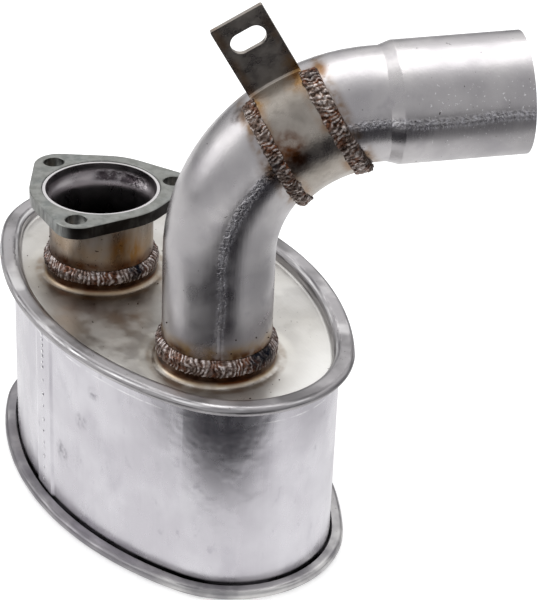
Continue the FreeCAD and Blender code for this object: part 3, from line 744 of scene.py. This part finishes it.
@dataclass(frozen=True)
class StrapSteel:
    """Hot-rolled strap of the hanger bracket: dull brown-grey, tinted where it was welded and creased."""

    base: str = "#9F9890"
    light: str = "#B4ADA5"
    dull: str = "#8A847D"
    edge: str = "#8A6238"
    straw: str = "#96744A"
    rust: str = "#5F3A20"
    burned: str = "#4A2A16"
    edges: tuple[float, float] = (-11.5, 11.5)

    def build(self) -> bpy.types.Material:
        """Makes the bracket's material.

        Returns:
            The material, straw at the crease and rust-brown low on the saddle.
        """
        g = finish("hot rolled strap")
        station = g.along(BEND.middle(BEND.strap_at), BEND.tangent(BEND.strap_at))
        tints = (
            ((126.5, 37.5, 111.0), 5.5, self.straw),
            ((131.7, 34.5, 105.9), 4.5, self.straw),
            ((124.5, 18.4, 95.6), 3.5, self.straw),
            ((144.7, 23.1, 79.4), 8.0, self.rust),
            ((146.0, 27.0, 74.5), 6.0, self.burned),
        )
        cloud = g.grain(5, 0.35, detail=4)
        colour = g.coats(
            self.base,
            (self.light, g.grain(9, high=0.7, detail=4)),
            (self.dull, g.grain(5, high=0.4, detail=4, band=(0.5, 0.72))),
            *((self.edge, g.stripe(station, at, 1.8, 2.2), g.grain(8, 0.0, 0.55)) for at in self.edges),
            *((shade, g.spot(centre, radius, 4.5), cloud) for centre, radius, shade in tints),
        )
        return g.bare_metal(colour, g.grain(7, 0.26, 0.34, detail=4), (g.grain(1.4, detail=4), 0.018))


@dataclass(frozen=True)
class WeldMetal:
    """Bare weld bead: a painted highlight on its ripples' crests, brown-black between them, blue-black oxide
    in places.
    """

    name: str = "weld metal"
    base: str = "#7A6B64"
    # Painted highlight on the ripples' crests
    light: str = "#D6CDCB"
    valley: str = "#33221B"
    rust: str = "#6B3D22"
    oxide: str = "#10131C"
    last_passes: tuple[tuple[Point, float], ...] = (
        ((28.8, 6.3, -37.3), 5.0),
        ((136.3, 16.8, -36.5), 5.0),
        ((133.5, 24.7, -36.5), 5.0),
        ((133.6, 42.0, 107.2), 3.6),
        ((140.7, 17.9, 71.1), 4.2),
    )

    def build(self) -> bpy.types.Material:
        """Makes the beads' material.

        Returns:
            The material. It reads the ripples' crests from the mesh, and is oxide where a pass ended.
        """
        g = finish(self.name)
        crest = g.add(Kind.CREST)
        bright = g.add(Kind.FADE, crest, 0.50, 0.95)
        scale = g.grain(3, 0.6)
        colour = g.coats(
            self.base,
            (self.rust, g.grain(7, high=0.8, detail=4, band=(0.45, 0.65))),
            (self.valley, g.add(Kind.FADE, crest, 0.45, 0.08, 0, 0.9)),
            # painted highlight on the ripples' crests
            (self.light, bright, g.grain(3.2, 0.15, detail=4, band=(0.42, 0.58))),
            (self.valley, g.grain(1.5, high=0.60, band=(0.50, 0.62))),
            *((self.oxide, g.spot(centre, radius, 2.5), scale) for centre, radius in self.last_passes),
        )
        return g.bare_metal(colour, g.grain(1.6, 0.24, 0.50), (g.grain(1.2, detail=4), 0.09))


@dataclass(frozen=True)
class SpotMark:
    """Squeezed sheet metal of a spot weld: brighter than the sheet, darker at its middle."""

    base: str = "#F2F1F3"
    dark: str = "#8C8991"

    def build(self) -> bpy.types.Material:
        """Makes the spot welds' material.

        Returns:
            The material.
        """
        g = finish("spot weld mark")
        colour = g.coats(self.base, (self.dark, g.grain(1.3, high=0.6, detail=2, band=(0.5, 0.62))))
        return g.bare_metal(colour, g.grain(2, 0.22, 0.4), (g.grain(1.0), 0.05))


@dataclass(frozen=True)
class PlainSheet:
    """Plain rolled sheet of the sealed inner pieces: even, dull grey."""

    base: str = "#A3A2A2"
    dull: str = "#8C8A88"

    def build(self) -> bpy.types.Material:
        """Makes the inner pieces' material.

        Returns:
            The material.
        """
        g = finish("plain inner sheet")
        colour = g.coats(self.base, (self.dull, g.grain(14, high=0.7, detail=4)))
        return g.bare_metal(colour, g.grain(9, 0.38, 0.5), (g.grain(1.4), 0.02))


def paint(frame: dict, node: str, material: bpy.types.Material) -> None:
    """Gives a CAD node its finish.

    Args:
        node: Name of the node.
        material: Its finish.
    """
    mesh = frame["nodes"][node].data
    mesh.materials.clear()
    mesh.materials.append(material)
    LOG.info("dressed %s", node)


def new_piece(name: str, mesh: bpy.types.Mesh, material: bpy.types.Material) -> bpy.types.Object:
    """Puts a finished mesh in the scene as a piece of the muffler.

    Args:
        name: The piece's name.
        mesh: Its mesh, already in place.
        material: Its finish.

    Returns:
        The new object.
    """
    mesh.materials.clear()
    mesh.materials.append(material)
    for polygon in mesh.polygons:
        polygon.use_smooth = True
    piece = bpy.data.objects.new(name, mesh)
    bpy.context.scene.collection.objects.link(piece)
    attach(piece, "root")
    LOG.info("made %s: %d faces", name, len(mesh.polygons))
    return piece


def finished_mesh(name: str, work: bmesh.types.BMesh) -> bpy.types.Mesh:
    """Turns a finished bmesh into a mesh.

    Args:
        name: The mesh's name.
        work: The bmesh, which is freed.

    Returns:
        The new mesh.
    """
    mesh = bpy.data.meshes.new(name)
    work.to_mesh(mesh)
    work.free()
    return mesh


def layered_noise(point: Vector, layers: Sequence[tuple[float, float]]) -> float:
    """Adds up noises, each of a size and a reach in millimetres."""
    return sum(reach * noise.noise(point / size) for size, reach in layers)


@dataclass
class WeldBead:
    """One bead of weld metal, with the chevron ripples that its passes left, in millimetres."""

    name: str
    node: str
    centre: Vector
    axis: Vector
    inner: float
    half_width: float
    pitch: float = 2.5
    ripple: float = 0.32
    lumps: float = 0.46
    lean: float = 0.65
    lean_power: float = 1.4
    crown: float = 2.0
    sharpness: float = 1.3
    trough: float = 0.55
    sheltered: float = 0.3
    opening: float = 1.2
    voxel: float = 0.40
    wander: tuple[tuple[float, float], ...] = ((6.0, 3.2), (2.2, 0.7))
    knobs: tuple[tuple[float, float], ...] = ((3.0, 0.8), (1.1, 0.7))
    crest_mix: tuple[float, float, float] = (0.75, 0.25, 0.45)

    def solid(self, frame: dict) -> bpy.types.Mesh:
        """Makes an even mesh of the CAD bead, ready to be rippled.


        Returns:
            The new mesh.
        """
        work = bmesh.new()
        work.from_mesh(frame["nodes"][self.node].data)
        bmesh.ops.remove_doubles(work, verts=work.verts, dist=0.001 * MM)
        blank = bpy.data.objects.new(self.name + "_blank", finished_mesh(self.name, work))
        bpy.context.scene.collection.objects.link(blank)
        remesh = blank.modifiers.new("even faces", "REMESH")
        remesh.mode = "VOXEL"
        remesh.voxel_size = self.voxel * MM
        graph = bpy.context.evaluated_depsgraph_get()
        even = bpy.data.meshes.new_from_object(blank.evaluated_get(graph))
        bpy.data.objects.remove(blank)
        return even

    def relief(self, point: Vector) -> tuple[float, float]:
        """Finds the ripple at a point of the bead.

        Args:
            point: Place on the CAD bead, in millimetres.

        Returns:
            How far the surface moves outwards in millimetres, and how near it is to a crest, from 0 to 1.
        """
        side = self.axis.orthogonal().normalized()
        offset = point - self.centre
        across = offset.dot(self.axis)
        spoke = offset - self.axis * across
        angle = math.atan2(spoke.dot(self.axis.cross(side)), spoke.dot(side))
        travel = angle * (self.inner + self.crown) + layered_noise(point, self.wander)
        lag = self.lean * self.pitch * abs(across / self.half_width) ** self.lean_power
        wave = 0.5 + 0.5 * math.cos(math.tau * (travel + lag) / self.pitch)
        lump = layered_noise(point, self.knobs)
        exposed = min(max((spoke.length - self.inner - self.sheltered) / self.opening, 0.0), 1.0)
        rise = exposed * (self.ripple * (wave**self.sharpness - self.trough) + self.lumps * lump)
        by_wave, start, by_lump = self.crest_mix
        return rise, min(max(by_wave * wave + start + by_lump * lump, 0.0), 1.0)

    def build(self, frame: dict, material: bpy.types.Material) -> bpy.types.Object:
        """Makes the rippled bead, which stands for its CAD node.

        Args:
            material: Its finish.

        Returns:
            The new object.
        """
        mesh = self.solid(frame)
        moves = [(v.normal.copy(), *self.relief(v.co / MM)) for v in mesh.vertices]
        crest = mesh.attributes.new("crest", "FLOAT", "POINT")
        for index, (vertex, (normal, rise, height)) in enumerate(zip(mesh.vertices, moves)):
            vertex.co += normal * (rise * MM)
            crest.data[index].value = height
        piece = new_piece(self.name, mesh, material)
        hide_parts(self.node)
        return piece


@dataclass
class Body:
    """Shell with its lap, and the two end plates, in millimetres and degrees."""

    lap_centre: tuple[float, float] = (42.0, 131.28)
    lap_radius: float = 184.38
    spot_angle: float = 268.45
    spot_drift: float = 0.12
    spot_low: float = -146.0
    spot_high: float = -54.0
    spot_pitch: float = 8.0
    crowded_length: float = 22.0
    crowded_share: float = 0.42
    spot_steps: tuple[float, float] = (0.85, 1.1)
    spot_radius: float = 1.0
    spot_sizes: tuple[float, float] = (0.7, 1.15)
    spot_height: float = 0.35
    spot_stretch: float = 1.25
    seed: int = 4

    def dress(self, frame: dict) -> None:
        """Finishes the three sheets and marks the lap.
        """
        paint(frame, "shell", RolledSheet().build())
        plate = PressedSheet().build()
        paint(frame, "top_end_plate", plate)
        paint(frame, "bottom_end_plate", plate)
        self.lap_welds()

    def lap_welds(self) -> bpy.types.Object:
        """Makes the row of small spot welds down the lap, denser near its upper end.

        Returns:
            The new object.
        """
        dice = random.Random(self.seed)
        work = bmesh.new()
        height = self.spot_low
        while height < self.spot_high:
            crowded = height > self.spot_high - self.crowded_length
            angle = math.radians(self.spot_angle + dice.uniform(-self.spot_drift, self.spot_drift))
            outward = Vector((math.cos(angle), math.sin(angle), 0))
            middle = Vector((*self.lap_centre, height)) + outward * self.lap_radius
            size = self.spot_radius * dice.uniform(*self.spot_sizes)
            turned = outward.to_track_quat("Z", "Y").to_matrix().to_4x4()
            scale = Matrix.Diagonal((size * MM, size * self.spot_stretch * MM, self.spot_height * MM, 1))
            place = Matrix.Translation(middle * MM) @ turned @ scale
            bmesh.ops.create_icosphere(work, subdivisions=2, radius=1.0, matrix=place)
            share = self.crowded_share if crowded else 1.0
            height += self.spot_pitch * share * dice.uniform(*self.spot_steps)
        mesh = finished_mesh("lap_spot_welds", work)
        return new_piece("lap_spot_welds", mesh, SpotMark().build())


@dataclass
class Pipework:
    """Flange, tubes and bracket, and the sealed inner pieces."""

    inner_nodes: tuple[str, ...] = (
        "upper_baffle",
        "lower_baffle",
        "inlet_perforated_tube",
        "inlet_tube_cap",
        "outlet_inner_tube",
        "transfer_tube",
    )

    def dress(self, frame: dict) -> None:
        """Finishes them all.
        """
        paint(frame, "inlet_flange", MachinedPlate().build())
        paint(frame, "inlet_pipe", DrawnInletTube().build())
        paint(frame, "outlet_pipe", SeamedTube().build())
        paint(frame, "hanger_bracket", StrapSteel().build())
        inner = PlainSheet().build()
        for node in self.inner_nodes:
            paint(frame, node, inner)


@dataclass
class Welds:
    """All beads that show, and the spatter round them, in millimetres."""

    tube_radius: float = 27.5
    flange_bead_radius: float = 28.4
    flange_bead_level: float = -9.5
    flange_bead_half_width: float = 2.5
    strap_bead_radius: float = 27.6
    # Name, place along the tube from the strap's middle, half width and pitch of the ripples
    strap_beads: tuple[tuple[str, float, float, float], ...] = (
        ("lower", -15.5, 3.5, 2.2),
        ("upper", 16.3, 4.3, 2.4),
    )
    spatter_count: int = 46
    spatter_seed: int = 11
    spatter_sizes: tuple[float, float] = (0.22, 0.50)
    spatter_on_tube: float = 0.35
    spatter_reach: tuple[float, float] = (34.0, 47.0)
    spatter_climb: tuple[float, float] = (1.0, 12.0)

    def beads(self) -> Iterable[WeldBead]:
        """The five beads, each where its CAD node is.

        Yields:
            The collars' beads, the flange's and the strap's two.
        """
        for name, port in (("inlet", INLET), ("outlet", OUTLET)):
            middle = Vector((port.x, port.y, (port.bead_low + port.bead_high) / 2))
            width = (port.bead_high - port.bead_low) / 2
            yield WeldBead(f"{name}_collar_bead", f"{name}_collar_weld", middle, UP, self.tube_radius, width)
        flange = (UP * self.flange_bead_level, UP, self.flange_bead_radius, self.flange_bead_half_width)
        yield WeldBead("flange_bead", "inlet_flange_weld", *flange, ripple=0.35, lumps=0.3)
        way, strap = BEND.tangent(BEND.strap_at), BEND.middle(BEND.strap_at)
        for name, at, half_width, pitch in self.strap_beads:
            names = (f"strap_bead_{name}", f"bracket_weld_{name}")
            place = (strap + way * at, way, self.strap_bead_radius, half_width)
            yield WeldBead(*names, *place, pitch=pitch, ripple=0.18, lumps=0.80, lean=0.4)

    def spatter(self, material: bpy.types.Material) -> bpy.types.Object:
        """Makes the small beads of metal thrown on the plate and the tubes beside the collar welds.

        Args:
            material: Their finish.

        Returns:
            The new object.
        """
        dice = random.Random(self.spatter_seed)
        work = bmesh.new()
        for index in range(self.spatter_count):
            port = INLET if index % 2 else OUTLET
            turn = dice.uniform(0, math.tau)
            size = dice.uniform(*self.spatter_sizes)
            on_tube = dice.random() < self.spatter_on_tube
            reach = self.tube_radius if on_tube else dice.uniform(*self.spatter_reach)
            height = port.bead_high + dice.uniform(*self.spatter_climb) if on_tube else PANEL_TOP
            middle = Vector((port.x + reach * math.cos(turn), port.y + reach * math.sin(turn), height))
            place = Matrix.Translation(middle * MM)
            bmesh.ops.create_icosphere(work, subdivisions=1, radius=size * MM, matrix=place)
        return new_piece("weld_spatter", finished_mesh("weld_spatter", work), material)

    def build(self, frame: dict) -> None:
        """Makes the beads and the spatter. The strap's beads were left darker than the others.
        """
        material = WeldMetal().build()
        # The scorched metal's light colour is its painted highlight on the crests
        scorched = WeldMetal("scorched weld metal", base="#6A5B53", light="#C2B8B3", valley="#24170F").build()
        for bead in self.beads():
            bead.build(frame, scorched if bead.name.startswith("strap") else material)
        self.spatter(material)


@dataclass(frozen=True)
class Softbox:
    """One square lamp that points at a target, in metres and watts."""

    name: str
    place: Point
    target: Point
    size: float
    power: float

    def build(self) -> None:
        """Hangs the lamp."""
        data = bpy.data.lights.new(self.name, "AREA")
        data.shape = "SQUARE"
        data.size = self.size
        data.energy = self.power
        lamp = bpy.data.objects.new(self.name, data)
        lamp.location = self.place
        lamp.rotation_mode = "QUATERNION"
        lamp.rotation_quaternion = (Vector(self.target) - Vector(self.place)).to_track_quat("-Z", "Y")
        bpy.context.scene.collection.objects.link(lamp)


@dataclass
class Studio:
    """Pale floor, soft light and the camera of the photograph, in metres.

    The floor's zones are in millimetres: each edge's direction from the body's centre, and where it fades.
    """

    floor_level: float = BASE * MM
    floor_size: float = 3.0
    camera_place: Point = (0.873727, -0.436943, 0.496296)
    camera_right: Point = (0.509195, 0.859854, 0.037040)
    camera_up: Point = (-0.446191, 0.226938, 0.865686)
    camera_forward: Point = (-0.735958, 0.457330, -0.499215)
    lens: float = 124.98
    sensor: float = 36.0
    clip: tuple[float, float] = (0.05, 20.0)
    towards_camera: Point = (0.849, -0.528, 0)
    paper_lift: float = 0.42
    mirrored_light: float = 1.05
    softboxes: tuple[Softbox, ...] = (
        Softbox("overhead softbox", (-0.15, 0.25, 1.05), (0.05, 0.02, 0.0), 0.9, 4.2),
        Softbox("left softbox", (-0.55, -0.95, 0.55), (0.05, 0.0, 0.0), 0.7, 2.2),
    )
    body_centre: Point = (42.0, 19.4, 0.0)
    dim_edges: tuple[tuple[Point, float, float], ...] = (
        ((0.770, -0.655, 0), 180, 222),
        ((0.061, 1.139, 0), -500, -360),
        ((0.1035, 1.113, 0), 140, 30),
        ((0.528, 0.849, 0), 150, 380),
    )

    def camera(self) -> None:
        """Sets the camera at the photograph's angle."""
        data = bpy.data.cameras.new("photo camera")
        data.lens = self.lens
        data.sensor_width = self.sensor
        data.clip_start, data.clip_end = self.clip
        camera = bpy.data.objects.new("photo camera", data)
        columns = (self.camera_right, self.camera_up, [-c for c in self.camera_forward])
        turned = Matrix(columns).transposed().to_4x4()
        camera.matrix_world = Matrix.Translation(self.camera_place) @ turned
        bpy.context.scene.collection.objects.link(camera)
        bpy.context.scene.camera = camera

    def paper(self) -> bpy.types.Material:
        """Makes the floor's white paper, which keeps a soft shadow.

        Metal mirrors a dark zone of it in front of the muffler and a grey one to the right, which give the
        tubes and the shell the dark bands of the photograph.

        Returns:
            The material.
        """
        g = finish("white paper")
        front, left, right, aside = (
            g.add(Kind.FADE, g.along(self.body_centre, direction), start, end, 0.0, 1.0)
            for direction, start, end in self.dim_edges
        )
        side = g.add(Kind.TIMES, front, left)
        room = g.coats(
            "#FFFFFF",
            ("#98989A", g.add(Kind.HIGHER, side, aside)),
            ("#1F1D24", side, right),
        )
        paper = g.add(Kind.PAPER, "#F2F2F2")
        bright = g.add(Kind.TOGETHER, paper, g.add(Kind.GLOW, "#FFFFFF", self.paper_lift))
        lit = g.add(Kind.BLEND, g.add(Kind.SEEN), paper, bright)
        mirrored = g.add(Kind.HIGHER, g.add(Kind.MIRRORED), g.add(Kind.SEEN_THROUGH))
        room_light = g.add(Kind.GLOW, room, self.mirrored_light)
        g.add(Kind.MATERIAL_END, g.add(Kind.BLEND, mirrored, lit, room_light))
        return g.owner

    def floor(self) -> None:
        """Lays the paper under the muffler."""
        work = bmesh.new()
        bmesh.ops.create_grid(work, x_segments=1, y_segments=1, size=self.floor_size)
        bmesh.ops.translate(work, verts=work.verts, vec=(0, 0, self.floor_level))
        mesh = finished_mesh("floor", work)
        mesh.materials.append(self.paper())
        floor = bpy.data.objects.new("floor", mesh)
        bpy.context.scene.collection.objects.link(floor)

    def room(self) -> None:
        """Makes the room: white to the camera, and dimmer to metal near the horizon and where it stands."""
        world = bpy.data.worlds.new("studio")
        bpy.context.scene.world = world
        g = Graph(world)
        way = g.add(Kind.DIRECTION)
        near = g.add(Kind.FADE, g.add(Kind.REACH, way, self.towards_camera), 0.15, 0.65)
        colour = g.coats(
            "#858587",
            ("#FFFFFF", g.add(Kind.FADE, g.add(Kind.RISE, way), 0.02, 0.45)),
            ("#C8C8CA", near),
            ("#FFFFFF", g.add(Kind.SEEN)),
        )
        g.add(Kind.WORLD_END, g.add(Kind.SKY, colour, 1.0))

    def build(self) -> None:
        """Sets up the whole studio."""
        self.camera()
        self.floor()
        self.room()
        for softbox in self.softboxes:
            softbox.build()
        bpy.context.scene.view_settings.view_transform = "Standard"
        LOG.info("studio ready")


def main() -> None:
    """Loads the frame, sets up the studio and dresses the muffler."""
    logging.basicConfig(level=logging.INFO, format="%(message)s")
    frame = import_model()
    Studio().build()
    Body().dress(frame)
    Pipework().dress(frame)
    Welds().build(frame)


if __name__ == "__main__":
    main()
